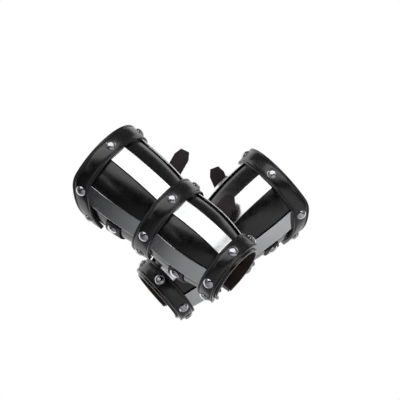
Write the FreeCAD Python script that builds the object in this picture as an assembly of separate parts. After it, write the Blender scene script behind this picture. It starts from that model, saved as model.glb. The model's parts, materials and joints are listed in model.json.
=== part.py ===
import FreeCAD, Part
import math
import os

# Pair of splinted leather bracers, crossed as they are worn. Lengths in millimetres, angles in degrees.
# Each bracer is built in its own frame: +Y runs from the elbow end to the wrist end, +Z is the crown,
# and an angle is measured about Y from the crown towards +X. The two are then turned into place.

# Leather sleeve
SLEEVE_LENGTH = 195.0
ELBOW_RADIUS = 50.5
WRIST_RADIUS = 33.5
LEATHER_THICKNESS = 2.6
LINING_THICKNESS = 0.9
LINING_INSET = 1.0
CLOSURE_EDGE_ANGLE = 154.5
UPPER_BOW = 1.8
LOWER_BOW = 3.2
ELBOW_CUT_START_SHARE = -0.04
ELBOW_CUT_DEPTH_SHARE = 0.132
ELBOW_CUT_BLEND = 34.0

# Steel splints
SPLINT_SPACING = 65.0
SPLINT_WIDTH = 22.0
SPLINT_THICKNESS = 1.2
SPLINT_ELBOW_INSET = 11.0
SPLINT_WRIST_INSET = 6.0
SPLINT_POCKET_CLEARANCE = 0.2

# Riveted bands, their places and widths as shares of the sleeve's length
BAND_PROUD = 5.0
BAND_ROUNDING = 1.4
ELBOW_BAND_WIDTH_SHARE = 0.1077
MIDDLE_BAND_START_SHARE = 0.4462
MIDDLE_BAND_WIDTH_SHARE = 0.1128
WRIST_BAND_WIDTH_SHARE = 0.0974
WRIST_EDGE_WIDTH = 2.5
BAND_END_RIVET_ANGLE = 138.5
BAND_TONGUE_START = 2.5
BAND_TONGUE_LENGTH = 11.5

# Dome rivets
DOME_RADIUS = 5.8
DOME_HEIGHT = 2.9
DOME_RIM = 0.5
SHANK_RADIUS = 1.6
SHANK_CLEARANCE = 0.2
BACK_CAP_RADIUS = 3.5
BACK_CAP_HEIGHT = 0.8
FLAT_HEAD_RADIUS = 4.0
FLAT_HEAD_HEIGHT = 0.7

# Straps and buckles
STRAP_WIDTH = 18.5
STRAP_THICKNESS = 2.2
ELBOW_STRAP_PLACE_SHARE = 0.3128
WRIST_STRAP_PLACE_SHARE = 0.7436
STRAP_RIVET_ANGLE = 124.5
STRAP_END_MARGIN = 8.0
STRAP_EXIT_MARGIN = 1.0
STRAP_RAMP_START_SHARE = 0.8
STRAP_RAMP_END_SHARE = 0.3
STRAP_HOLE_WIDTH = 4.2
STRAP_HOLE_LENGTH = 10.8
RIGHT_ELBOW_TAIL_LENGTH = 78.0
RIGHT_WRIST_TAIL_LENGTH = 76.0
LEFT_TAIL_LENGTH = 70.0
RIGHT_ELBOW_TAIL_SKEW = 12.0
RIGHT_WRIST_TAIL_SKEW = 20.0
LEFT_TAIL_SKEW = 20.0
TAIL_LIFT = 2.0
TAIL_FREE_SWING = 11.0
TAIL_TIP_LENGTH = 8.5
TAIL_TIP_WIDTH = 10.5
TAIL_GAP = 0.5
TAIL_HOLE_RADIUS = 1.8
TAIL_HOLE_PITCH = 14.0
TAIL_HOLE_COUNT = 3
CHAPE_THICKNESS = 3.4
CHAPE_END_GAP = 1.5
CHAPE_RIVET_MARGIN = 6.5
RIVET_TO_KEEPER = 8.3
KEEPER_TO_BAR = 9.0
KEEPER_WIDTH = 6.0
KEEPER_THICKNESS = 1.2
KEEPER_SIDE_GAP = 0.4
FRAME_REACH = 20.0
FRAME_BAR = 3.0
FRAME_THICKNESS = 2.8
FRAME_END_SHARE = 0.8
FRAME_SIDE_GAP = 0.6
BAR_RADIUS = 1.3
BAR_CLEARANCE = 0.15
EYE_RADIUS = 2.75
PRONG_WIDTH = 3.4
PRONG_THICKNESS = 1.8
PRONG_TIP_SHARE = 0.33
PRONG_RING_RADIUS = 2.6

# Clearances and cutting overrun
SEAT = 0.3
FIT_GAP = 0.1
OVERRUN = 2.0

# Places of the pair: heading is below the horizontal, tilt is towards the viewer, roll turns the crown
RIGHT_HEADING = 39.3
RIGHT_TILT = 13.6
RIGHT_ROLL = 22.1
LEFT_HEADING = 137.8
LEFT_TILT = 3.9
LEFT_ROLL = -18.2
CROSSING_ALONG_RIGHT_SHARE = 0.79
CROSSING_ALONG_LEFT_SHARE = 0.633

V = FreeCAD.Vector
ORIGIN = V(0, 0, 0)
ACROSS = V(1, 0, 0)
ALONG = V(0, 1, 0)
OUTWARD = V(0, 0, 1)
FULL_TURN = 360.0

ELBOW_CUT_ANGLE = math.degrees(math.atan2(ELBOW_CUT_DEPTH_SHARE * SLEEVE_LENGTH, ELBOW_RADIUS))
ELBOW_BAND_WIDTH = ELBOW_BAND_WIDTH_SHARE * SLEEVE_LENGTH
MIDDLE_BAND_START = MIDDLE_BAND_START_SHARE * SLEEVE_LENGTH
MIDDLE_BAND_END = MIDDLE_BAND_START + MIDDLE_BAND_WIDTH_SHARE * SLEEVE_LENGTH
WRIST_BAND_END = SLEEVE_LENGTH - WRIST_EDGE_WIDTH
WRIST_BAND_START = WRIST_BAND_END - WRIST_BAND_WIDTH_SHARE * SLEEVE_LENGTH
ELBOW_STRAP_STATION = ELBOW_STRAP_PLACE_SHARE * SLEEVE_LENGTH
WRIST_STRAP_STATION = WRIST_STRAP_PLACE_SHARE * SLEEVE_LENGTH
SPLINT_ANGLES = {
    "strap_side_splint": -1.5 * SPLINT_SPACING,
    "crown_splint": -0.5 * SPLINT_SPACING,
    "tail_side_splint": 0.5 * SPLINT_SPACING,
    "buckle_side_splint": 1.5 * SPLINT_SPACING,
}
CENTRE_ANGLE = 0.5 * SPLINT_SPACING


def sin(angle):
    return math.sin(math.radians(angle))


def cos(angle):
    return math.cos(math.radians(angle))


def tan(angle):
    return math.tan(math.radians(angle))


def plain_radius(station):
    """Radius of the leather's outer face with no bow."""
    return ELBOW_RADIUS + (WRIST_RADIUS - ELBOW_RADIUS) * station / SLEEVE_LENGTH


def bow(station):
    """How far the leather and splints belly out between two bands."""
    windows = (
        (ELBOW_BAND_WIDTH, MIDDLE_BAND_START, UPPER_BOW),
        (MIDDLE_BAND_END, WRIST_BAND_START, LOWER_BOW),
    )
    for start, end, height in windows:
        if start < station < end:
            half = (end - start) / 2
            return height * (1 - ((station - start) / half - 1) ** 2)
    return 0.0


def sleeve_radius(station):
    return plain_radius(station) + bow(station)


def surface_slope(station):
    """Angle at which the leather narrows towards the wrist, under a rivet's head."""
    drop = sleeve_radius(station - DOME_RADIUS) - sleeve_radius(station + DOME_RADIUS)
    return math.degrees(math.atan2(drop, 2 * DOME_RADIUS))


def meridian(station, offset):
    """Point of the crown line at a station, so far outside the leather."""
    return V(0, station, sleeve_radius(station) + offset)


def profile_edges(offset, start, end):
    """Lines under the bands and arcs between them, from one station to another."""
    marks = (ELBOW_BAND_WIDTH, MIDDLE_BAND_START, MIDDLE_BAND_END, WRIST_BAND_START)
    stations = [start] + [mark for mark in marks if start < mark < end] + [end]
    edges = []
    for first, last in zip(stations, stations[1:]):
        a = meridian(first, offset)
        b = meridian(last, offset)
        middle = meridian((first + last) / 2, offset)
        if bow((first + last) / 2) > 0:
            edges.append(Part.Arc(a, middle, b).toShape())
        else:
            edges.append(Part.LineSegment(a, b).toShape())
    return edges


def line(a, b):
    return Part.LineSegment(a, b).toShape()


def polygon_face(points):
    return Part.Face(Part.makePolygon(list(points) + [points[0]]))


def profile_face(inner, outer, start, end):
    """Cross-section of a skin of the sleeve, in the crown plane."""
    edges = profile_edges(inner, start, end) + profile_edges(outer, start, end)
    edges.append(line(meridian(start, inner), meridian(start, outer)))
    edges.append(line(meridian(end, inner), meridian(end, outer)))
    return Part.Face(Part.Wire(Part.__sortEdges__(edges)))


def turned(shape, angle):
    """A copy turned about the bracer's axis."""
    copy = shape.copy()
    copy.rotate(ORIGIN, ALONG, angle)
    return copy


def swept(face, start, end):
    """A crown-plane face swept round the axis from one angle to another."""
    return turned(face, start).revolve(ORIGIN, ALONG, end - start)


def join(shapes):
    fused = shapes[0].fuse(shapes[1:])
    return fused.removeSplitter()


# The elbow end is cut back towards the closure, so that the arm can bend

def elbow_curve(inset):
    """Edges and end points of the elbow outline seen from the side, moved inwards."""
    far = 2 * ELBOW_RADIUS
    radius = ELBOW_CUT_BLEND - inset
    corner_height = ELBOW_CUT_START_SHARE * ELBOW_RADIUS + inset * tan(ELBOW_CUT_ANGLE / 2)
    tangent = radius * tan(ELBOW_CUT_ANGLE / 2)
    top = V(0, inset, far)
    start = V(0, inset, corner_height + tangent)
    half = ELBOW_CUT_ANGLE / 2
    middle = V(0, inset + radius * (1 - cos(half)), corner_height + tangent - radius * sin(half))
    end = V(0, inset + tangent * sin(ELBOW_CUT_ANGLE), corner_height - tangent * cos(ELBOW_CUT_ANGLE))
    bottom = V(0, inset + (corner_height + far) * tan(ELBOW_CUT_ANGLE), -far)
    edges = [line(top, start), Part.Arc(start, middle, end).toShape(), line(end, bottom)]
    return edges, top, bottom


def elbow_edge_station(angle, inset):
    """Station of the elbow outline, moved inwards, at an angle from the crown."""
    height = plain_radius(inset) * cos(angle - CENTRE_ANGLE)
    corner_height = ELBOW_CUT_START_SHARE * ELBOW_RADIUS + inset * tan(ELBOW_CUT_ANGLE / 2)
    return inset + max(0.0, corner_height - height) * tan(ELBOW_CUT_ANGLE)


def elbow_region(near_inset, far_inset):
    """Prism right across the sleeve between two moved elbow outlines, or all before the first."""
    near_edges, near_top, near_bottom = elbow_curve(near_inset)
    if far_inset is None:
        before = -2 * ELBOW_RADIUS
        far_top = V(0, before, near_top.z)
        far_bottom = V(0, before, near_bottom.z)
        far_edges = [line(far_top, far_bottom)]
    else:
        far_edges, far_top, far_bottom = elbow_curve(far_inset)
    edges = near_edges + far_edges + [line(near_top, far_top), line(near_bottom, far_bottom)]
    face = Part.Face(Part.Wire(Part.__sortEdges__(edges)))
    face.translate(ACROSS * (-2 * ELBOW_RADIUS))
    return turned(face.extrude(ACROSS * (4 * ELBOW_RADIUS)), CENTRE_ANGLE)


def local_placement(angle, station, offset, slope_angle):
    """Frame on the sleeve: X towards the elbow, Y round the sleeve, Z straight out of it."""
    radial = V(sin(angle), 0, cos(angle))
    outward = radial * cos(slope_angle) + ALONG * sin(slope_angle)
    to_elbow = radial * sin(slope_angle) - ALONG * cos(slope_angle)
    round_sleeve = outward.cross(to_elbow)
    foot = V(0, station, 0) + radial * (sleeve_radius(station) + offset)
    matrix = FreeCAD.Matrix(
        to_elbow.x, round_sleeve.x, outward.x, foot.x,
        to_elbow.y, round_sleeve.y, outward.y, foot.y,
        to_elbow.z, round_sleeve.z, outward.z, foot.z,
        0, 0, 0, 1,
    )
    return FreeCAD.Placement(matrix)


def placed(shape, placement):
    copy = shape.copy()
    copy.Placement = placement.multiply(copy.Placement)
    return copy


def centred_box(length, width, low, high, middle_x=0.0, middle_y=0.0):
    corner = V(middle_x - length / 2, middle_y - width / 2, low)
    return Part.makeBox(length, width, high - low, corner)


# Rivets: each holds its layers between a head outside and a cap inside

WALL = LEATHER_THICKNESS + LINING_THICKNESS + FIT_GAP


def rivet_places():
    """Name of each rivet group, with the angle, station and outer offset of its rivets."""
    ends = (CENTRE_ANGLE - BAND_END_RIVET_ANGLE, CENTRE_ANGLE + BAND_END_RIVET_ANGLE)
    angles = [CENTRE_ANGLE + angle for angle in SPLINT_ANGLES.values()] + list(ends)
    middle_station = (MIDDLE_BAND_START + MIDDLE_BAND_END) / 2
    wrist_station = (WRIST_BAND_START + WRIST_BAND_END) / 2
    return {
        "elbow_band_rivets": [(a, elbow_edge_station(a, ELBOW_BAND_WIDTH / 2), BAND_PROUD) for a in angles],
        "middle_band_rivets": [(a, middle_station, BAND_PROUD) for a in angles],
        "wrist_band_rivets": [(a, wrist_station, BAND_PROUD) for a in angles],
    }


def rivet(grip, head_radius, head_height):
    """Rivet with its head's seat at height zero, its shank down through the layers and its cap inside."""
    rim = min(DOME_RIM, head_height / 2)
    crown = V(0, 0, FIT_GAP + head_height)
    rim_top = V(head_radius, 0, FIT_GAP + rim)
    bulge = V(head_radius * cos(45), 0, FIT_GAP + rim + (head_height - rim) * sin(45))
    cap_top = -grip - SEAT
    outline = [
        rim_top,
        V(head_radius, 0, FIT_GAP),
        V(SHANK_RADIUS, 0, FIT_GAP),
        V(SHANK_RADIUS, 0, cap_top),
        V(BACK_CAP_RADIUS, 0, cap_top),
        V(BACK_CAP_RADIUS, 0, cap_top - BACK_CAP_HEIGHT),
        V(0, 0, cap_top - BACK_CAP_HEIGHT),
        crown,
    ]
    edges = [line(a, b) for a, b in zip(outline, outline[1:])]
    edges.append(Part.Arc(crown, bulge, rim_top).toShape())
    return Part.Face(Part.Wire(edges)).revolve(ORIGIN, OUTWARD, FULL_TURN)


def shank_hole(reach_out, reach_in):
    hole_radius = SHANK_RADIUS + SHANK_CLEARANCE
    return Part.makeCylinder(hole_radius, reach_out + reach_in, V(0, 0, -reach_in), OUTWARD)


# Sleeve, lining, splints and bands

def skin(inner, outer, end_inset, edge_inset):
    """Skin of the sleeve, open at the closure and cut back at the elbow."""
    face = profile_face(inner, outer, 0.0, SLEEVE_LENGTH - end_inset)
    edge = CLOSURE_EDGE_ANGLE - math.degrees(edge_inset / ELBOW_RADIUS)
    whole = swept(face, CENTRE_ANGLE - edge, CENTRE_ANGLE + edge)
    return whole.cut(elbow_region(end_inset, None))


def splint(extra_width=0.0, extra_below=0.0, extra_above=0.0, extra_length=0.0):
    """Flat spring-steel strip on the crown, bowed between the bands."""
    start = SPLINT_ELBOW_INSET - extra_length
    end = SLEEVE_LENGTH - SPLINT_WRIST_INSET + extra_length
    face = profile_face(SEAT - extra_below, SEAT + SPLINT_THICKNESS + extra_above, start, end)
    width = SPLINT_WIDTH + extra_width
    face.translate(ACROSS * (-width / 2))
    return face.extrude(ACROSS * width)


def splint_pockets():
    gap = SPLINT_POCKET_CLEARANCE
    pocket = splint(2 * gap, 2 * SEAT, gap, gap)
    return [turned(pocket, CENTRE_ANGLE + angle) for angle in SPLINT_ANGLES.values()]


def band_arc(face):
    """A band's section swept round to its end rivets, with straight tongues beyond them."""
    reach = BAND_END_RIVET_ANGLE + BAND_TONGUE_START
    pieces = [swept(face, CENTRE_ANGLE - reach, CENTRE_ANGLE + reach)]
    for side in (-1, 1):
        angle = CENTRE_ANGLE + side * reach
        tangent = V(cos(angle), 0, -sin(angle)) * side
        pieces.append(turned(face, angle).extrude(tangent * BAND_TONGUE_LENGTH))
    return join(pieces)


def rounded_band_face(start, end):
    """Section of a straight-edged band with its two outer edges rounded."""
    r = BAND_ROUNDING
    top_start = meridian(start, BAND_PROUD)
    top_end = meridian(end, BAND_PROUD)
    slope = (top_end - top_start).normalize()
    down = V(0, 0, -1)
    turn = 1 - cos(45)
    points = {
        "a": meridian(start, SEAT),
        "b": top_start + down * r,
        "c": top_start + slope * r,
        "d": top_end - slope * r,
        "e": top_end + down * r,
        "f": meridian(end, SEAT),
    }
    first = Part.Arc(points["b"], top_start + (slope + down) * (r * turn), points["c"]).toShape()
    last = Part.Arc(points["d"], top_end + (down - slope) * (r * turn), points["e"]).toShape()
    edges = [
        line(points["a"], points["b"]), first, line(points["c"], points["d"]),
        last, line(points["e"], points["f"]), line(points["f"], points["a"]),
    ]
    return Part.Face(Part.Wire(edges))


def elbow_band():
    """Band that follows the cut-back elbow outline."""
    reach = elbow_edge_station(CENTRE_ANGLE + 180, ELBOW_BAND_WIDTH) + OVERRUN
    whole = band_arc(profile_face(SEAT, BAND_PROUD, 0.0, reach))
    return whole.common(elbow_region(0.0, ELBOW_BAND_WIDTH))


# A closure strap: the strap itself, its tail, and the chape, buckle and keeper that hold it

class Closure:
    """Angles and sections of one closure strap, worked out at its station."""

    def __init__(self, station):
        self.station = station
        half = STRAP_WIDTH / 2
        drop = sleeve_radius(station - half) - sleeve_radius(station + half)
        self.slope = math.degrees(math.atan2(drop, STRAP_WIDTH))
        self.radius = sleeve_radius(station) + SEAT
        splint_half = math.degrees(math.asin(SPLINT_WIDTH / 2 / self.radius))
        last_splint = CENTRE_ANGLE + SPLINT_ANGLES["buckle_side_splint"]
        self.chape_end = last_splint + splint_half + self.arc(CHAPE_END_GAP)
        self.chape_rivet = self.chape_end + self.arc(CHAPE_RIVET_MARGIN)
        self.keeper = self.chape_rivet + self.arc(RIVET_TO_KEEPER)
        self.exit = self.keeper - self.arc(KEEPER_WIDTH / 2 + STRAP_EXIT_MARGIN)
        self.bar = self.keeper + self.arc(KEEPER_TO_BAR)
        self.half_reach = math.degrees(math.asin(FRAME_REACH / 2 / self.radius))
        self.buckle = self.bar + self.half_reach
        self.strap_rivet = FULL_TURN + CENTRE_ANGLE - STRAP_RIVET_ANGLE
        self.strap_start = self.strap_rivet + self.arc(STRAP_END_MARGIN)
        self.over_eye = 2 * EYE_RADIUS + SEAT
        self.over_chape = CHAPE_THICKNESS + FLAT_HEAD_HEIGHT + FIT_GAP + SEAT

    def arc(self, length):
        """Angle that a length along the sleeve turns through."""
        return math.degrees(length / self.radius)

    def section(self, inner, outer, width):
        """Crown-plane section of a layer of strap at two heights above the strap's seat."""
        out = V(0, sin(self.slope), cos(self.slope))
        forward = V(0, cos(self.slope), -sin(self.slope))
        foot = V(0, self.station, self.radius)
        corners = [(-1, inner), (1, inner), (1, outer), (-1, outer)]
        return polygon_face([foot + forward * (side * width / 2) + out * height for side, height in corners])

    def frame(self, angle, height=0.0):
        """Local frame at an angle, with its Z at zero on the strap's seat."""
        seat = local_placement(angle, self.station, SEAT, self.slope)
        return seat.multiply(FreeCAD.Placement(OUTWARD * height, FreeCAD.Rotation()))

    def chord_frame(self):
        """Local frame of the buckle, whose two bars stand on the seat's circle."""
        return self.frame(self.buckle, self.radius * (cos(self.half_reach) - 1))


def strap(closure):
    """Strap from its rivet, across the closure, under the buckle's front bar and over the chape."""
    half = closure.half_reach
    ramp_start = closure.buckle + half * STRAP_RAMP_START_SHARE
    ramp_end = closure.buckle - half * STRAP_RAMP_END_SHARE
    eye_end = closure.bar - closure.arc(EYE_RADIUS)
    flat_start = eye_end - closure.arc(EYE_RADIUS)
    stations = [
        (closure.strap_start, 0.0),
        (ramp_start, 0.0),
        (ramp_end, closure.over_eye),
        (eye_end, closure.over_eye),
        (flat_start, closure.over_chape),
        (closure.exit, closure.over_chape),
    ]
    pieces = []
    for (from_angle, from_height), (to_angle, to_height) in zip(stations, stations[1:]):
        first = closure.section(from_height, from_height + STRAP_THICKNESS, STRAP_WIDTH)
        last = closure.section(to_height, to_height + STRAP_THICKNESS, STRAP_WIDTH)
        if from_height == to_height:
            pieces.append(swept(first, from_angle, to_angle))
        else:
            wires = [turned(first, from_angle).OuterWire, turned(last, to_angle).OuterWire]
            pieces.append(Part.makeLoft(wires, True, True))
    whole = join(pieces)
    hole = centred_box(STRAP_HOLE_WIDTH, STRAP_HOLE_LENGTH, -EYE_RADIUS, 4 * EYE_RADIUS)
    hole = placed(hole, closure.chord_frame())
    rivet_hole = placed(shank_hole(2 * STRAP_THICKNESS, OVERRUN), closure.frame(closure.strap_rivet))
    return whole.cut([hole, rivet_hole])


def strap_tail(closure, length, skew, lift):
    """Free end of the strap past the keeper, leaning towards the elbow, with a clipped tip."""
    half = STRAP_WIDTH / 2
    tip = TAIL_TIP_WIDTH / 2
    lean = V(sin(skew), -cos(skew), 0)
    side = V(cos(skew), sin(skew), 0)
    shoulder = length - TAIL_TIP_LENGTH
    root = V(0, -TAIL_GAP, 0)
    side_root = V(half, 0, 0)
    points = [
        root - side_root,
        root + side_root,
        lean * shoulder + side * half,
        lean * length + side * tip,
        lean * length - side * tip,
        lean * shoulder - side * half,
    ]
    plate = polygon_face(points).extrude(OUTWARD * STRAP_THICKNESS)
    holes = []
    for index in range(TAIL_HOLE_COUNT):
        centre = lean * (TAIL_HOLE_PITCH * (index + 1)) - OUTWARD * OVERRUN
        holes.append(Part.makeCylinder(TAIL_HOLE_RADIUS, STRAP_THICKNESS + 2 * OVERRUN, centre, OUTWARD))
    plate = plate.cut(holes)
    hinge = V(0, 0, STRAP_THICKNESS)
    plate.rotate(hinge, ACROSS, -lift)
    return placed(plate, closure.frame(closure.exit, closure.over_chape))


def chape(closure):
    """Folded strap that holds the buckle's bar in an eye and is riveted to the sleeve."""
    frame = closure.chord_frame()
    bar_y = -FRAME_REACH / 2
    tongue = swept(closure.section(0.0, CHAPE_THICKNESS, STRAP_WIDTH), closure.chape_end, closure.bar)
    eye_corner = V(-STRAP_WIDTH / 2, bar_y, EYE_RADIUS)
    eye = placed(Part.makeCylinder(EYE_RADIUS, STRAP_WIDTH, eye_corner, ACROSS), frame)
    bore_corner = V(-STRAP_WIDTH, bar_y, EYE_RADIUS)
    bore = placed(Part.makeCylinder(BAR_RADIUS + BAR_CLEARANCE, 2 * STRAP_WIDTH, bore_corner, ACROSS), frame)
    slot_length = 2 * EYE_RADIUS + OVERRUN
    slot = centred_box(STRAP_HOLE_WIDTH, slot_length, -OVERRUN, 3 * EYE_RADIUS, 0.0, bar_y)
    leg = KEEPER_THICKNESS + SEAT
    tunnel = centred_box(2 * STRAP_WIDTH, KEEPER_WIDTH + 2 * SEAT, 0.0, leg)
    tunnel_foot = (CHAPE_THICKNESS - leg) / 2
    rivet_hole = placed(shank_hole(2 * CHAPE_THICKNESS, OVERRUN), closure.frame(closure.chape_rivet))
    cuts = [bore, placed(slot, frame), placed(tunnel, closure.frame(closure.keeper, tunnel_foot)), rivet_hole]
    return join([tongue, eye]).cut(cuts)


def buckle_frame(closure):
    """Square buckle: a front bar, two side bars and the round bar that the chape and prong turn on."""
    front_y = FRAME_REACH / 2
    bar_y = -front_y
    inner = STRAP_WIDTH / 2 + FRAME_SIDE_GAP
    low = STRAP_THICKNESS + 2 * SEAT + FIT_GAP
    high = low + FRAME_THICKNESS
    end = FRAME_THICKNESS * FRAME_END_SHARE
    front_outer = front_y + FRAME_BAR / 2
    width = 2 * (inner + FRAME_BAR)
    front = centred_box(width, FRAME_BAR, low, high, 0.0, front_y)
    sides = []
    for side in (-1, 1):
        x = side * (inner + FRAME_BAR / 2) - FRAME_BAR / 2
        outline = [
            V(x, front_outer, low),
            V(x, front_outer, high),
            V(x, bar_y, EYE_RADIUS + end),
            V(x, bar_y, EYE_RADIUS - end),
        ]
        sides.append(polygon_face(outline).extrude(ACROSS * FRAME_BAR))
        sides.append(Part.makeCylinder(end, FRAME_BAR, V(x, bar_y, EYE_RADIUS), ACROSS))
    bar = Part.makeCylinder(BAR_RADIUS, 2 * inner, V(-inner, bar_y, EYE_RADIUS), ACROSS)
    return placed(join([front] + sides + [bar]), closure.chord_frame())


def buckle_prong(closure):
    """Prong that turns on the buckle's bar and rests on its front bar."""
    front_y = FRAME_REACH / 2
    bar_y = -front_y
    front_top = STRAP_THICKNESS + 2 * SEAT + FIT_GAP + FRAME_THICKNESS
    rest = front_top + 2 * SEAT
    tip_y = front_y + FRAME_BAR / 2 + PRONG_THICKNESS / 2
    slope = (rest - EYE_RADIUS) / FRAME_REACH
    left = -PRONG_WIDTH / 2
    outline = [
        V(left, bar_y + BAR_RADIUS, EYE_RADIUS + slope * BAR_RADIUS),
        V(left, tip_y, rest + slope * (tip_y - front_y)),
        V(left, tip_y - PRONG_THICKNESS * PRONG_TIP_SHARE, rest + PRONG_THICKNESS),
        V(left, bar_y + BAR_RADIUS, EYE_RADIUS + slope * BAR_RADIUS + PRONG_THICKNESS),
    ]
    shank = polygon_face(outline).extrude(ACROSS * PRONG_WIDTH)
    middle = V(left, bar_y, EYE_RADIUS)
    ring = Part.makeCylinder(PRONG_RING_RADIUS, PRONG_WIDTH, middle, ACROSS)
    bore = Part.makeCylinder(BAR_RADIUS + BAR_CLEARANCE, PRONG_WIDTH, middle, ACROSS)
    return placed(join([shank, ring]).cut(bore), closure.chord_frame())


def keeper(closure):
    """Loop whose lower leg passes through the chape and whose upper leg holds the strap down."""
    inner = STRAP_WIDTH + 2 * KEEPER_SIDE_GAP
    low = (CHAPE_THICKNESS - KEEPER_THICKNESS) / 2
    roof = closure.over_chape + STRAP_THICKNESS + SEAT
    outer_box = centred_box(inner + 2 * KEEPER_THICKNESS, KEEPER_WIDTH, low, roof + KEEPER_THICKNESS)
    inner_box = centred_box(inner, KEEPER_WIDTH + OVERRUN, low + KEEPER_THICKNESS, roof)
    return placed(outer_box.cut(inner_box), closure.frame(closure.keeper))


def bracer(closures):
    """Every piece of one bracer but its strap tails, by name, in the bracer's own frame."""
    groups = rivet_places()
    holes = []
    pieces = {}
    for name, places in groups.items():
        tool = rivet(BAND_PROUD + WALL, DOME_RADIUS, DOME_HEIGHT)
        drill = shank_hole(OVERRUN, BAND_PROUD + WALL + OVERRUN)
        spots = [local_placement(a, station, offset, surface_slope(station)) for a, station, offset in places]
        pieces[name] = Part.makeCompound([placed(tool, spot) for spot in spots])
        holes += [placed(drill, spot) for spot in spots]
    strap_rivets = []
    strap_holes = []
    for closure in closures.values():
        strap_grip = STRAP_THICKNESS + SEAT + WALL
        chape_grip = CHAPE_THICKNESS + SEAT + WALL
        strap_spot = closure.frame(closure.strap_rivet, STRAP_THICKNESS)
        chape_spot = closure.frame(closure.chape_rivet, CHAPE_THICKNESS)
        strap_rivets.append(placed(rivet(strap_grip, DOME_RADIUS, DOME_HEIGHT), strap_spot))
        strap_rivets.append(placed(rivet(chape_grip, FLAT_HEAD_RADIUS, FLAT_HEAD_HEIGHT), chape_spot))
        drill = shank_hole(OVERRUN, chape_grip + OVERRUN)
        strap_holes += [placed(drill, strap_spot), placed(drill, chape_spot)]
    pieces["strap_rivets"] = Part.makeCompound(strap_rivets)

    leather = skin(-LEATHER_THICKNESS, 0.0, 0.0, 0.0)
    pieces["leather_sleeve"] = leather.cut(holes + strap_holes)
    lining_top = -LEATHER_THICKNESS - FIT_GAP
    lining = skin(lining_top - LINING_THICKNESS, lining_top, LINING_INSET, LINING_INSET)
    pieces["lining"] = lining.cut(holes + strap_holes)
    plate = splint()
    for name, angle in SPLINT_ANGLES.items():
        pieces[name] = turned(plate, CENTRE_ANGLE + angle).cut(holes)
    pockets = splint_pockets()
    bands = {
        "elbow_band": elbow_band(),
        "middle_band": band_arc(rounded_band_face(MIDDLE_BAND_START, MIDDLE_BAND_END)),
        "wrist_band": band_arc(rounded_band_face(WRIST_BAND_START, WRIST_BAND_END)),
    }
    for name, band in bands.items():
        pieces[name] = band.cut(pockets + holes)
    for name, closure in closures.items():
        pieces[name + "_strap"] = strap(closure)
        pieces[name + "_chape"] = chape(closure)
        pieces[name + "_buckle_frame"] = buckle_frame(closure)
        pieces[name + "_buckle_prong"] = buckle_prong(closure)
        pieces[name + "_keeper"] = keeper(closure)
    return pieces


# The pair

def worn_rotation(heading, tilt, roll):
    """Turns a bracer's frame to its heading below the horizontal, its tilt and its roll."""
    axis = V(cos(tilt) * cos(heading), -sin(tilt), -cos(tilt) * sin(heading))
    viewer = V(0, -1, 0)
    facing = (viewer - axis * viewer.dot(axis)).normalize()
    aside = facing.cross(axis)
    crown = facing * cos(roll) + aside * sin(roll)
    across = axis.cross(crown)
    matrix = FreeCAD.Matrix(
        across.x, axis.x, crown.x, 0,
        across.y, axis.y, crown.y, 0,
        across.z, axis.z, crown.z, 0,
        0, 0, 0, 1,
    )
    return FreeCAD.Placement(matrix)


def place_pair():
    """The right bracer about the origin, and the left one behind it, clear of the swing of its tail."""
    closures = {"elbow": Closure(ELBOW_STRAP_STATION), "wrist": Closure(WRIST_STRAP_STATION)}
    pieces = bracer(closures)
    elbow, wrist = closures.values()
    right_tails = {
        "elbow_strap_tail": strap_tail(elbow, RIGHT_ELBOW_TAIL_LENGTH, RIGHT_ELBOW_TAIL_SKEW, TAIL_LIFT),
        "wrist_strap_tail": strap_tail(wrist, RIGHT_WRIST_TAIL_LENGTH, RIGHT_WRIST_TAIL_SKEW, TAIL_LIFT),
    }
    left_tails = {
        name + "_strap_tail": strap_tail(closure, LEFT_TAIL_LENGTH, LEFT_TAIL_SKEW, TAIL_LIFT)
        for name, closure in closures.items()
    }
    lifted = TAIL_LIFT + TAIL_FREE_SWING
    swung_tail = strap_tail(wrist, RIGHT_WRIST_TAIL_LENGTH, RIGHT_WRIST_TAIL_SKEW, lifted)
    middle = V(0, -SLEEVE_LENGTH / 2, 0)
    right_frame = worn_rotation(RIGHT_HEADING, RIGHT_TILT, RIGHT_ROLL)
    left_frame = worn_rotation(LEFT_HEADING, LEFT_TILT, LEFT_ROLL)

    def as_right(shape):
        mirrored = shape.mirror(ORIGIN, ACROSS)
        mirrored.translate(middle)
        return placed(mirrored, right_frame)

    right = {name: as_right(shape) for name, shape in (pieces | right_tails).items()}
    left = {}
    for name, shape in (pieces | left_tails).items():
        own = shape.copy()
        own.translate(middle)
        left[name] = placed(own, left_frame)
    right_point = right_frame.multVec(ALONG * (SLEEVE_LENGTH * (CROSSING_ALONG_RIGHT_SHARE - 0.5)))
    left_point = left_frame.multVec(ALONG * (SLEEVE_LENGTH * (CROSSING_ALONG_LEFT_SHARE - 0.5)))
    start = right_point - left_point + ALONG * (2 * ELBOW_RADIUS + 4 * BAND_PROUD)
    for name in left:
        left[name].translate(start)
    right_all = Part.makeCompound(list(right.values()) + [as_right(swung_tail)])
    left_all = Part.makeCompound(list(left.values()))
    gap = left_all.distToShape(right_all)[0]
    while gap > SEAT + FIT_GAP:
        step = ALONG * (SEAT - gap)
        left_all.translate(step)
        for name in left:
            left[name].translate(step)
        gap = left_all.distToShape(right_all)[0]
    return right, left


def main():
    right, left = place_pair()
    os.makedirs("parts", exist_ok=True)
    for side, pieces in (("right", right), ("left", left)):
        for name, shape in pieces.items():
            shape.exportStep("parts/" + side + "_" + name + ".step")


main()
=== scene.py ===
import json
import math

import bpy
from mathutils import Matrix, Vector


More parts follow.
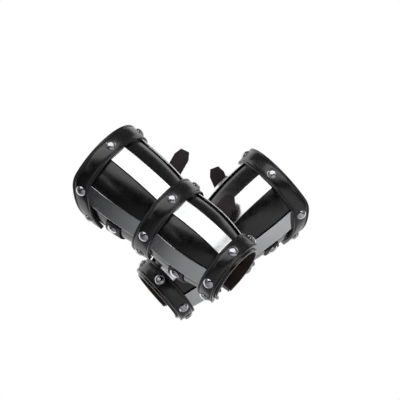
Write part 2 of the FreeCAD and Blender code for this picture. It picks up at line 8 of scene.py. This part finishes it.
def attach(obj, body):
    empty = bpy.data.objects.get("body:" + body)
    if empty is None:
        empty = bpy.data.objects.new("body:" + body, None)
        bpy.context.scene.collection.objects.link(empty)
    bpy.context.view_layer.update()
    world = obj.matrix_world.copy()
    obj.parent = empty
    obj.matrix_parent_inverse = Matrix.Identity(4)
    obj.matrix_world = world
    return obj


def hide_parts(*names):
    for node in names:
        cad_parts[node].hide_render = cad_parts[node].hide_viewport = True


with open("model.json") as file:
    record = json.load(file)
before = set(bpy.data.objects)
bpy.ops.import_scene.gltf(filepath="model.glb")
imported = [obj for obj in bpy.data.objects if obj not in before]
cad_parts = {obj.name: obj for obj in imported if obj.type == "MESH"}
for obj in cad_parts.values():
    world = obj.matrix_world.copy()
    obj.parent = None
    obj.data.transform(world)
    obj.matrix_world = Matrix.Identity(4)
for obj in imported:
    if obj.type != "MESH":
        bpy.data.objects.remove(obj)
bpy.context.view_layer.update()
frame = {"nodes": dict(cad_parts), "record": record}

# Sizes in millimetres and angles in degrees, shared with the part's source
MM = 0.001
SLEEVE_LENGTH = 195.0
ELBOW_RADIUS = 50.5
WRIST_RADIUS = 33.5
LEATHER_THICKNESS = 2.6
LINING_THICKNESS = 0.9
LAYER_GAP = 0.1
CLOSURE_EDGE_ANGLE = 154.5
UPPER_BOW = 1.8
LOWER_BOW = 3.2
ELBOW_CUT_START_SHARE = -0.04
ELBOW_CUT_ANGLE = math.degrees(math.atan2(0.132 * SLEEVE_LENGTH, ELBOW_RADIUS))
ELBOW_CUT_BLEND = 34.0
SPLINT_SPACING = 65.0
SPLINT_WIDTH = 22.0
SPLINT_THICKNESS = 1.2
SPLINT_START = 11.0
SPLINT_END = 189.0
SEAT = 0.3
BAND_PROUD = 5.0
ELBOW_BAND_WIDTH = 0.1077 * SLEEVE_LENGTH
MIDDLE_BAND_START = 0.4462 * SLEEVE_LENGTH
MIDDLE_BAND_END = MIDDLE_BAND_START + 0.1128 * SLEEVE_LENGTH
WRIST_BAND_END = SLEEVE_LENGTH - 2.5
WRIST_BAND_START = WRIST_BAND_END - 0.0974 * SLEEVE_LENGTH
BAND_STRAIGHT_FROM = 141.0
BAND_END_ANGLE = 154.5
ELBOW_CUT_HELD_FROM = 155.0
LINING_INSET = 1.0
LINING_INSET_ANGLE = 1.2
CENTRE_ANGLE = SPLINT_SPACING / 2
SPLINTS = {
    "strap_side_splint": -1.5 * SPLINT_SPACING,
    "crown_splint": -0.5 * SPLINT_SPACING,
    "tail_side_splint": 0.5 * SPLINT_SPACING,
    "buckle_side_splint": 1.5 * SPLINT_SPACING,
}

# Stitching of the bands
STITCH_INSET = 2.6
STITCH_PITCH = 3.2
STITCH_LENGTH = 2.3
STITCH_RADIUS = 0.42
STITCH_DEPTH = 0.62
STITCH_FREE_ANGLE = 1.5

# Rounded edges
SLEEVE_EDGE = 0.6
BAND_EDGE = 0.5
SPLINT_EDGE = 0.5
SPLINT_LOOP_INSET = 0.8
SHARP_ANGLE = 50

# Fineness of the meshes
SLEEVE_ROWS = 52
SLEEVE_STEPS = 128
LINING_ROWS = 40
LINING_STEPS = 96
BAND_STEPS = 144
SPLINT_PARTS = 90

# How the pair is worn: heading below the horizontal, tilt towards the viewer, roll of the crown
WORN = {
    "right": {"heading": 39.3, "tilt": 13.6, "roll": 22.1},
    "left": {"heading": 137.8, "tilt": 3.9, "roll": -18.2},
}


def sin(angle):
    return math.sin(math.radians(angle))


def cos(angle):
    return math.cos(math.radians(angle))


def tan(angle):
    return math.tan(math.radians(angle))


# Materials

def colour(code):
    """sRGB hex to linear RGBA."""
    parts = [int(code[i:i + 2], 16) / 255 for i in (1, 3, 5)]
    return [c / 12.92 if c <= 0.04045 else ((c + 0.055) / 1.055) ** 2.4 for c in parts] + [1.0]


def add(tree, kind, settings=None, links=None):
    """Adds a node, sets its values and links its inputs."""
    node = tree.nodes.new(kind)
    for name, value in (settings or {}).items():
        if isinstance(name, int) or name in node.inputs:
            node.inputs[name].default_value = value
        else:
            setattr(node, name, value)
    for name, source in (links or {}).items():
        tree.links.new(source, node.inputs[name])
    return node


def new_material(name):
    """Material with an empty node tree, returned with its tree."""
    material = bpy.data.materials.new(name)
    material.use_nodes = True
    material.node_tree.nodes.clear()
    return material, material.node_tree


def ramp(tree, source, stops):
    """Colour ramp over a factor, from pairs of place and hex colour."""
    node = add(tree, "ShaderNodeValToRGB", links={"Fac": source})
    while len(node.color_ramp.elements) < len(stops):
        node.color_ramp.elements.new(0.5)
    for element, (place, code) in zip(node.color_ramp.elements, stops):
        element.position = place
        element.color = colour(code)
    return node.outputs["Color"]


def spread(tree, source, low, high):
    """Maps a factor from its middle range to other limits."""
    settings = {"From Min": 0.3, "From Max": 0.7, "To Min": low, "To Max": high}
    return add(tree, "ShaderNodeMapRange", settings, {"Value": source}).outputs["Result"]


def noise(tree, place, size_mm, detail=3.0):
    """Noise whose features have about the given size."""
    settings = {"Scale": 1 / (size_mm * MM), "Detail": detail}
    return add(tree, "ShaderNodeTexNoise", settings, {"Vector": place}).outputs["Fac"]


def leather(name, dark, light, rough, grain_mm, grain_depth_mm, polish):
    """Finished leather: pebbled grain, fine pores and a surface polished more or less."""
    material, tree = new_material(name)
    place = add(tree, "ShaderNodeTexCoord").outputs["Object"]
    tone = ramp(tree, noise(tree, place, 14.0), [(0.35, dark), (0.65, light)])
    grain = add(
        tree, "ShaderNodeTexVoronoi",
        {"feature": "SMOOTH_F1", "Scale": 1 / (grain_mm * MM)},
        {"Vector": place},
    )
    pores = noise(tree, place, grain_mm * 0.4)
    height = add(
        tree, "ShaderNodeMath",
        {"operation": "MULTIPLY_ADD", 1: 0.5},
        {0: pores, 2: grain.outputs["Distance"]},
    )
    bump = add(
        tree, "ShaderNodeBump",
        {"Strength": 1.0, "Distance": grain_depth_mm * MM},
        {"Height": height.outputs[0]},
    )
    roughness = spread(tree, noise(tree, place, 6.0), rough - 0.05, rough + 0.06)
    shader = add(
        tree, "ShaderNodeBsdfPrincipled",
        {"Specular IOR Level": polish},
        {"Base Color": tone, "Roughness": roughness, "Normal": bump.outputs["Normal"]},
    )
    add(tree, "ShaderNodeOutputMaterial", links={"Surface": shader.outputs["BSDF"]})
    return material


def metal(name, tone_dark, tone_light, rough, scratch_depth_mm):
    """Polished metal with faint smears and rubbing marks."""
    material, tree = new_material(name)
    place = add(tree, "ShaderNodeTexCoord").outputs["Object"]
    tone = ramp(tree, noise(tree, place, 25.0), [(0.3, tone_dark), (0.7, tone_light)])
    roughness = spread(tree, noise(tree, place, 9.0, 5.0), rough * 0.7, rough * 1.4)
    rubbing = noise(tree, place, 1.5, 4.0)
    bump = add(
        tree, "ShaderNodeBump",
        {"Strength": 0.5, "Distance": scratch_depth_mm * MM},
        {"Height": rubbing},
    )
    shader = add(
        tree, "ShaderNodeBsdfPrincipled", {"Metallic": 1.0},
        {"Base Color": tone, "Roughness": roughness, "Normal": bump.outputs["Normal"]},
    )
    add(tree, "ShaderNodeOutputMaterial", links={"Surface": shader.outputs["BSDF"]})
    return material


SLEEVE_LEATHER = leather("glossy_sleeve_leather", "#050507", "#09090b", 0.22, 1.6, 0.003, 1.0)
BAND_LEATHER = leather("grained_band_leather", "#090809", "#100e10", 0.24, 1.1, 0.012, 1.0)
STRAP_LEATHER = leather("dark_strap_leather", "#1c1316", "#281c20", 0.5, 1.2, 0.05, 0.3)
LINING_LEATHER = leather("suede_lining", "#2a211d", "#362b26", 0.85, 0.7, 0.08, 0.2)
THREAD = leather("waxed_thread", "#2a2829", "#363334", 0.5, 0.5, 0.03, 0.4)
SPLINT_STEEL = metal("polished_steel", "#eceef0", "#fafafa", 0.17, 0.001)
RIVET_CHROME = metal("chromed_rivet", "#d4d4d8", "#e0e0e4", 0.06, 0.001)
BUCKLE_CHROME = metal("chromed_buckle", "#a5a5a8", "#bdbdc0", 0.16, 0.006)


# Shape of a bracer in its own frame: angle from the crown, station from the elbow, offset from the leather

def plain_radius(station):
    return ELBOW_RADIUS + (WRIST_RADIUS - ELBOW_RADIUS) * station / SLEEVE_LENGTH


def sleeve_radius(station):
    """Radius of the leather, bellied out between the bands."""
    radius = plain_radius(station)
    windows = (
        (ELBOW_BAND_WIDTH, MIDDLE_BAND_START, UPPER_BOW),
        (MIDDLE_BAND_END, WRIST_BAND_START, LOWER_BOW),
    )
    for start, end, height in windows:
        if start < station < end:
            half = (end - start) / 2
            radius += height * (1 - ((station - start) / half - 1) ** 2)
    return radius


def elbow_edge(angle, inset):
    """Station of the cut-back elbow outline, moved inwards."""
    height = plain_radius(inset) * cos(angle - CENTRE_ANGLE)
    corner = ELBOW_CUT_START_SHARE * ELBOW_RADIUS + inset * tan(ELBOW_CUT_ANGLE / 2)
    tangent = (ELBOW_CUT_BLEND - inset) * tan(ELBOW_CUT_ANGLE / 2)
    past = corner - height
    if past < -tangent:
        return inset
    run = past * tan(ELBOW_CUT_ANGLE)
    if past > tangent * cos(ELBOW_CUT_ANGLE):
        return inset + run
    depth = (past + tangent) / (tangent * (1 + cos(ELBOW_CUT_ANGLE)))
    return inset + tangent * sin(ELBOW_CUT_ANGLE) * depth ** 2


def skin_point(angle, station, offset):
    """Point of the sleeve, in metres."""
    radius = sleeve_radius(station) + offset
    return Vector((radius * sin(angle), station, radius * cos(angle))) * MM


def band_point(angle, station, offset):
    """As skin_point, but running straight on past the band's end rivets."""
    turn = angle - CENTRE_ANGLE
    beyond = abs(turn) - BAND_STRAIGHT_FROM
    if beyond <= 0:
        return skin_point(angle, station, offset)
    side = 1 if turn > 0 else -1
    last = CENTRE_ANGLE + side * BAND_STRAIGHT_FROM
    run = math.radians(beyond) * sleeve_radius(station) * side
    return skin_point(last, station, offset) + Vector((cos(last), 0, -sin(last))) * run * MM


def worn_matrix(side):
    """From a bracer's own frame, in metres, to where it is worn."""
    pose = WORN[side]
    mount = [m for m in frame["record"]["mounts"] if m["name"] == side + "_forearm"][0]
    axis = Vector((
        cos(pose["tilt"]) * cos(pose["heading"]),
        -sin(pose["tilt"]),
        -cos(pose["tilt"]) * sin(pose["heading"]),
    ))
    viewer = Vector((0, -1, 0))
    facing = (viewer - axis * viewer.dot(axis)).normalized()
    crown = facing * cos(pose["roll"]) + facing.cross(axis) * sin(pose["roll"])
    across = axis.cross(crown)
    turn = Matrix((across, axis, crown)).transposed().to_4x4()
    middle = Matrix.Translation(Vector((0, -SLEEVE_LENGTH / 2, 0)) * MM)
    mirror = Matrix.Scale(-1, 4, Vector((1, 0, 0))) if side == "right" else Matrix.Identity(4)
    return Matrix.Translation(Vector(mount["pos_m"])) @ turn @ middle @ mirror


# Modelling steps

def only(obj):
    """Leaves this object alone selected and active."""
    bpy.ops.object.select_all(action="DESELECT")
    obj.select_set(True)
    bpy.context.view_layer.objects.active = obj


def in_edit_mode(obj, *steps):
    """Runs edit-mode steps on the whole of a mesh."""
    only(obj)
    bpy.ops.object.mode_set(mode="EDIT")
    bpy.ops.mesh.select_all(action="SELECT")
    for step in steps:
        step()
    bpy.ops.object.mode_set(mode="OBJECT")


def outward(obj):
    """Turns all faces outwards."""
    in_edit_mode(obj, lambda: bpy.ops.mesh.normals_make_consistent(inside=False))


def modify(obj, kind, **settings):
    """Adds a modifier and applies it."""
    only(obj)
    modifier = obj.modifiers.new(kind.lower(), kind)
    for name, value in settings.items():
        setattr(modifier, name, value)
    bpy.ops.object.modifier_apply(modifier=modifier.name)


def smooth(obj, angle=35.0):
    """Shades smoothly across edges flatter than the angle."""
    only(obj)
    bpy.ops.object.shade_smooth_by_angle(angle=math.radians(angle))


def round_edges(obj, width):
    """Rounds the sharp edges of a piece. Width in millimetres."""
    modify(
        obj, "BEVEL", width=width * MM, segments=2,
        limit_method="ANGLE", angle_limit=math.radians(SHARP_ANGLE),
    )


def spun_strip(name, outline, first, last, steps, place):
    """Strip with a given cross-section, spun round the bracer's axis and settled where it really runs.

    Outline: pairs of station and offset. Place: makes a point from angle, station and offset.
    """
    bpy.ops.object.select_all(action="DESELECT")
    bpy.ops.mesh.primitive_circle_add(vertices=len(outline), radius=MM, fill_type="NGON")
    strip = bpy.context.object
    strip.name = name
    for vertex, (station, offset) in zip(strip.data.vertices, outline):
        vertex.co = skin_point(first, station, offset)
    in_edit_mode(strip, lambda: bpy.ops.mesh.spin(
        steps=steps, angle=math.radians(last - first), center=(0, 0, 0), axis=(0, -1, 0)))
    for vertex in strip.data.vertices:
        angle = math.degrees(math.atan2(vertex.co.x, vertex.co.z))
        while angle < first - 1.0:
            angle += 360
        while angle > last + 1.0:
            angle -= 360
        station = vertex.co.y / MM
        offset = math.hypot(vertex.co.x, vertex.co.z) / MM - sleeve_radius(station)
        vertex.co = place(angle, station, offset)
    outward(strip)
    return strip


def worn(obj, side, name, body, material, *nodes):
    """A copy of a piece in its place on one bracer."""
    piece = obj.copy()
    piece.data = obj.data.copy()
    bpy.context.scene.collection.objects.link(piece)
    piece.name = side + "_" + name
    piece.data.transform(worn_matrix(side))
    if side == "right":
        piece.data.flip_normals()
    piece.data.materials.clear()
    piece.data.materials.append(material)
    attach(piece, side + "_" + body)
    if nodes:
        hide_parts(*[side + "_" + node for node in nodes])


def both_sides(obj, name, body, material, *nodes):
    """Puts a piece on both bracers and removes the pattern it was made from."""
    for side in WORN:
        worn(obj, side, name, body, material, *nodes)
    bpy.data.objects.remove(obj)


def skin_outline(start, end, low, high, rows):
    """Outline of a skin's section with many stations, so that it can belly out."""
    stations = [start + (end - start) * i / rows for i in range(rows + 1)]
    return [(s, high) for s in stations] + [(s, low) for s in reversed(stations)]


def cut_back(start_inset):
    """Places a skin so that its elbow end follows the cut-back outline."""
    def place(angle, station, offset):
        cut = elbow_edge(angle, start_inset) - start_inset
        moved = station + cut * (1 - station / SLEEVE_LENGTH)
        return skin_point(angle, moved, offset)
    return place


# Leather sleeve and lining
edge_low = CENTRE_ANGLE - CLOSURE_EDGE_ANGLE
edge_high = CENTRE_ANGLE + CLOSURE_EDGE_ANGLE
outline = skin_outline(0.0, SLEEVE_LENGTH, -LEATHER_THICKNESS, 0.0, SLEEVE_ROWS)
sleeve = spun_strip("sleeve", outline, edge_low, edge_high, SLEEVE_STEPS, cut_back(0.0))
round_edges(sleeve, SLEEVE_EDGE)
smooth(sleeve)
both_sides(sleeve, "glossy_sleeve", "bracer", SLEEVE_LEATHER, "leather_sleeve")

lining_top = -LEATHER_THICKNESS - LAYER_GAP
outline = skin_outline(
    LINING_INSET, SLEEVE_LENGTH - LINING_INSET, lining_top - LINING_THICKNESS, lining_top, LINING_ROWS)
lining = spun_strip(
    "lining", outline, edge_low + LINING_INSET_ANGLE, edge_high - LINING_INSET_ANGLE,
    LINING_STEPS, cut_back(LINING_INSET))
smooth(lining)
both_sides(lining, "suede_lining", "bracer", LINING_LEATHER, "lining")


# Bands: padded leather with a raised lip, a stitch groove and a full middle

def padded_outline(start, end):
    """Outline of a band's section. The half runs from its edge over the lip and groove to the middle."""
    width = end - start
    lip = 0.9
    groove = STITCH_INSET
    top = BAND_PROUD
    half = [
        (0.0, SEAT),
        (0.0, top - 1.1),
        (0.15, top - 0.45),
        (lip * 0.5, top - 0.05),
        (lip, top + 0.1),
        (groove - 0.8, top - 0.05),
        (groove, top - 0.8),
        (groove + 0.7, top - 0.3),
        (groove + 2.0, top + 0.05),
        (width * 0.36, top + 0.22),
    ]
    left = [(start + s, o) for s, o in half]
    right = [(end - s, o) for s, o in reversed(half)]
    return left + [((start + end) / 2, top + 0.28)] + right


band_low = CENTRE_ANGLE - BAND_END_ANGLE
band_high = CENTRE_ANGLE + BAND_END_ANGLE


def elbow_place(angle, station, offset):
    """As band_point, but following the cut-back elbow end, level again past the held angle."""
    turn = angle - CENTRE_ANGLE
    bounded = CENTRE_ANGLE + max(-ELBOW_CUT_HELD_FROM, min(ELBOW_CUT_HELD_FROM, turn))
    return band_point(angle, elbow_edge(bounded, station), offset)


BANDS = {
    "elbow_band": (0.0, ELBOW_BAND_WIDTH, elbow_place),
    "middle_band": (MIDDLE_BAND_START, MIDDLE_BAND_END, band_point),
    "wrist_band": (WRIST_BAND_START, WRIST_BAND_END, band_point),
}
for name, (start, end, place) in BANDS.items():
    band = spun_strip(name, padded_outline(start, end), band_low, band_high, BAND_STEPS, place)
    round_edges(band, BAND_EDGE)
    smooth(band, 50.0)
    both_sides(band, "padded_" + name, "bracer", BAND_LEATHER, name)

    # Stitches lie in the two grooves
    bpy.ops.object.select_all(action="DESELECT")
    bpy.ops.mesh.primitive_uv_sphere_add(segments=6, ring_count=5, radius=1.0)
    stitch = bpy.context.object
    seed = stitch.data.copy()
    bpy.data.objects.remove(stitch)
    stitches = []
    for station in (start + STITCH_INSET, end - STITCH_INSET):
        step = math.degrees(STITCH_PITCH / (sleeve_radius(station) + BAND_PROUD))
        for index in range(int(2 * (BAND_END_ANGLE - STITCH_FREE_ANGLE) / step)):
            angle = band_low + STITCH_FREE_ANGLE + step * (index + 0.5)
            here = place(angle - step * 0.2, station, BAND_PROUD - STITCH_DEPTH)
            there = place(angle + step * 0.2, station, BAND_PROUD - STITCH_DEPTH)
            along = (there - here).normalized()
            out = (place(angle, station, BAND_PROUD) - place(angle, station, 0.0)).normalized()
            axes = (along * STITCH_LENGTH / 2, along.cross(out) * STITCH_RADIUS, out * STITCH_RADIUS)
            lie = Matrix(axes).transposed() * MM
            one = seed.copy()
            one.transform(Matrix.Translation((here + there) / 2) @ lie.to_4x4())
            stitches.append(bpy.data.objects.new("stitch", one))
    for one in stitches:
        bpy.context.scene.collection.objects.link(one)
    bpy.ops.object.select_all(action="DESELECT")
    for one in stitches:
        one.select_set(True)
    bpy.context.view_layer.objects.active = stitches[0]
    bpy.ops.object.join()
    row = bpy.context.object
    smooth(row, 60.0)
    both_sides(row, name + "_stitching", "bracer", THREAD)


# Splints: flat strips that run under the bands and bow between them
for name, turn in SPLINTS.items():
    bpy.ops.object.select_all(action="DESELECT")
    bpy.ops.mesh.primitive_cube_add(size=1.0)
    splint = bpy.context.object
    splint.scale = (SPLINT_WIDTH * MM, (SPLINT_END - SPLINT_START) * MM, SPLINT_THICKNESS * MM)
    bpy.ops.object.transform_apply(location=False, rotation=False, scale=True)
    modify(splint, "BEVEL", width=SPLINT_EDGE * MM, segments=3)

    # Loops along the edges keep the faces flat, and cuts across let the strip bow
    for side_way in (-1, 1):
        edge = side_way * (SPLINT_WIDTH / 2 - SPLINT_LOOP_INSET) * MM
        in_edit_mode(splint, lambda: bpy.ops.mesh.bisect(plane_co=(edge, 0, 0), plane_no=(1, 0, 0)))
    for step in range(1, SPLINT_PARTS):
        cut = (SPLINT_END - SPLINT_START) * (step / SPLINT_PARTS - 0.5) * MM
        in_edit_mode(splint, lambda: bpy.ops.mesh.bisect(plane_co=(0, cut, 0), plane_no=(0, 1, 0)))
    for vertex in splint.data.vertices:
        station = vertex.co.y / MM + (SPLINT_START + SPLINT_END) / 2
        radius = sleeve_radius(station) + SEAT + SPLINT_THICKNESS / 2
        vertex.co = Vector((vertex.co.x, station * MM, radius * MM + vertex.co.z))
    splint.data.transform(Matrix.Rotation(math.radians(CENTRE_ANGLE + turn), 4, Vector((0, 1, 0))))
    smooth(splint, 30.0)
    both_sides(splint, "polished_" + name, "bracer", SPLINT_STEEL, name)


# Strap leather, softened from its solids: body and voxel size in millimetres
SOFT = {
    "elbow_strap": ("bracer", 0.7),
    "wrist_strap": ("bracer", 0.7),
    "elbow_chape": ("bracer", 0.6),
    "wrist_chape": ("bracer", 0.6),
    "elbow_keeper": ("bracer", 0.4),
    "wrist_keeper": ("bracer", 0.4),
    "elbow_strap_tail": ("elbow_strap_tail", 0.5),
    "wrist_strap_tail": ("wrist_strap_tail", 0.5),
}
for side in WORN:
    for name, (body, voxel) in SOFT.items():
        node = side + "_" + name
        piece = frame["nodes"][node].copy()
        piece.data = piece.data.copy()
        piece.parent = None
        for key in list(piece.keys()):
            del piece[key]
        piece.name = side + "_soft_" + name
        bpy.context.scene.collection.objects.link(piece)
        in_edit_mode(piece, lambda: bpy.ops.mesh.remove_doubles(threshold=0.01 * MM))
        outward(piece)
        modify(piece, "REMESH", mode="VOXEL", voxel_size=voxel * MM)
        modify(piece, "SMOOTH", factor=0.5, iterations=3)
        smooth(piece, 180.0)
        piece.data.materials.clear()
        piece.data.materials.append(STRAP_LEATHER)
        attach(piece, side + "_" + body)
        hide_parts(node)

# Metal pieces keep their solids
for node, obj in frame["nodes"].items():
    if "rivets" in node:
        metal_finish = RIVET_CHROME
    elif "buckle" in node and "splint" not in node:
        metal_finish = BUCKLE_CHROME
    else:
        continue
    obj.data.materials.clear()
    obj.data.materials.append(metal_finish)


# Room: a white world and floor, grey flags for the steel to mirror, one wide lamp and the camera

def white_for_the_eye(tree):
    """Factor that is one for rays that show the background, straight on, mirrored or through glass."""
    path = add(tree, "ShaderNodeLightPath")
    factor = path.outputs["Is Camera Ray"]
    for kind in ("Is Glossy Ray", "Is Transmission Ray"):
        links = {0: factor, 1: path.outputs[kind]}
        factor = add(tree, "ShaderNodeMath", {"operation": "MAXIMUM"}, links).outputs[0]
    return factor


def stage_card(name, centre, normal, width, height, tones, white):
    """Flat card of the room, graded across its width.

    It is either paper that shows as white, or a flag that only mirrors see.
    """
    bpy.ops.object.select_all(action="DESELECT")
    bpy.ops.mesh.primitive_plane_add(size=1.0)
    card = bpy.context.object
    card.name = name
    card.scale = (width, height, 1.0)
    bpy.ops.object.transform_apply(location=False, rotation=False, scale=True)
    turn = Vector(normal).to_track_quat("Z", "Y").to_matrix().to_4x4()
    card.data.transform(Matrix.Translation(Vector(centre)) @ turn)
    material, tree = new_material(name + "_card")
    place = add(tree, "ShaderNodeTexCoord").outputs["Generated"]
    across = add(tree, "ShaderNodeSeparateXYZ", links={0: place})
    tone = ramp(tree, across.outputs["X"], tones)
    shader = add(tree, "ShaderNodeBsdfDiffuse", links={"Color": tone}).outputs[0]
    if white:
        glow = add(tree, "ShaderNodeEmission", {"Color": (1, 1, 1, 1), "Strength": 1.0})
        links = {0: white_for_the_eye(tree), 1: shader, 2: glow.outputs[0]}
        shader = add(tree, "ShaderNodeMixShader", links=links).outputs[0]
    add(tree, "ShaderNodeOutputMaterial", links={"Surface": shader})
    card.data.materials.append(material)
    card.visible_camera = white
    card.visible_shadow = white
    card.visible_diffuse = white


def even(code):
    """Stops of a card that has the same tone all over."""
    return [(0.0, code), (1.0, code)]


stage_card("floor", (0, 0.2, -0.22), (0, 0, 1), 3.0, 3.0, even("#f4f4f4"), True)
LOW_LEFT_TONES = [
    (0.0, "#4a4a4c"), (0.5, "#2a2a2c"), (0.63, "#2a2a2c"), (0.705, "#3c3c3e"), (0.786, "#5c5c5e"),
    (0.85, "#78787a"), (0.907, "#8e8e90"), (0.96, "#98989a"), (1.0, "#a0a0a2"),
]
LOW_RIGHT_TONES = [
    (0.0, "#a0a0a2"), (0.08, "#b6b6b8"), (0.16, "#aaaaac"), (0.21, "#b8b8ba"), (0.32, "#c8c8ca"),
    (0.42, "#4a4a4c"),
]

# Flags: centre, normal, width and height in metres, and tones across the width
FLAGS = {
    "low_left_flag": ((-0.7, -0.92, -0.212), (0, 0, 1), 1.4, 1.96, LOW_LEFT_TONES),
    "low_right_flag": ((0.7, -0.83, -0.212), (0, 0, 1), 1.4, 2.16, LOW_RIGHT_TONES),
    "left_flag": ((-1.4, -0.65, 0.6), (1, 0, 0), 1.9, 1.7, [(0.2, "#2e2e30"), (1.0, "#9a9a9c")]),
    "right_flag": ((1.4, -0.3, 0.6), (-1, 0, 0), 1.9, 3.0, even("#7c7c7e")),
    "ceiling_flag": ((0.0, -0.2, 1.6), (0, 0, -1), 2.8, 3.0, even("#666668")),
    "front_flag": ((0.0, -1.85, 0.6), (0, 1, 0), 2.8, 1.9, even("#28282a")),
}
for name, (centre, normal, width, height, tones) in FLAGS.items():
    stage_card(name, centre, normal, width, height, tones, False)

world = bpy.data.worlds.new("studio")
bpy.context.scene.world = world
world.use_nodes = True
tree = world.node_tree
tree.nodes.clear()
soft = add(tree, "ShaderNodeBackground", {"Color": (1, 1, 1, 1), "Strength": 0.7})
white = add(tree, "ShaderNodeBackground", {"Color": (1, 1, 1, 1), "Strength": 1.0})
links = {0: white_for_the_eye(tree), 1: soft.outputs[0], 2: white.outputs[0]}
mix = add(tree, "ShaderNodeMixShader", links=links)
add(tree, "ShaderNodeOutputWorld", links={"Surface": mix.outputs[0]})


def area_light(name, place, target, width, height, watts):
    """Rectangular lamp turned towards a point."""
    light = bpy.data.lights.new(name, "AREA")
    light.shape = "RECTANGLE"
    light.size = width
    light.size_y = height
    light.energy = watts
    lamp = bpy.data.objects.new(name, light)
    lamp.location = place
    lamp.rotation_euler = (Vector(target) - Vector(place)).to_track_quat("-Z", "Y").to_euler()
    bpy.context.scene.collection.objects.link(lamp)


area_light("key", (-0.03, -1.235, 1.11), (0.03, 0.03, 0), 2.05, 1.45, 10.6)

# Camera: turns in radians, distance and shift in millimetres
CAMERA_TURN = (-0.0677, 0.0333, -0.0086)
CAMERA_DISTANCE = 1618.7
CAMERA_SHIFT = (-34.52, -21.04)
CAMERA_FOCAL_PX = 1500.9
PICTURE_PX = 400
SENSOR_MM = 36.0
rx, ry, rz = CAMERA_TURN
turn = Matrix.Rotation(rz, 3, "Z") @ Matrix.Rotation(ry, 3, "Y") @ Matrix.Rotation(rx, 3, "X")
to_camera = turn @ Matrix(((1, 0, 0), (0, 0, 1), (0, -1, 0)))
camera_data = bpy.data.cameras.new("camera")
camera = bpy.data.objects.new("camera", camera_data)
bpy.context.scene.collection.objects.link(camera)
place = to_camera.transposed() @ Vector((-CAMERA_SHIFT[0], -CAMERA_SHIFT[1], CAMERA_DISTANCE)) * MM
camera.matrix_world = Matrix.Translation(place) @ to_camera.transposed().to_4x4()
camera_data.sensor_width = SENSOR_MM
camera_data.lens = CAMERA_FOCAL_PX / PICTURE_PX * SENSOR_MM
camera_data.clip_end = 20.0
bpy.context.scene.camera = camera
bpy.context.scene.view_settings.view_transform = "Standard"
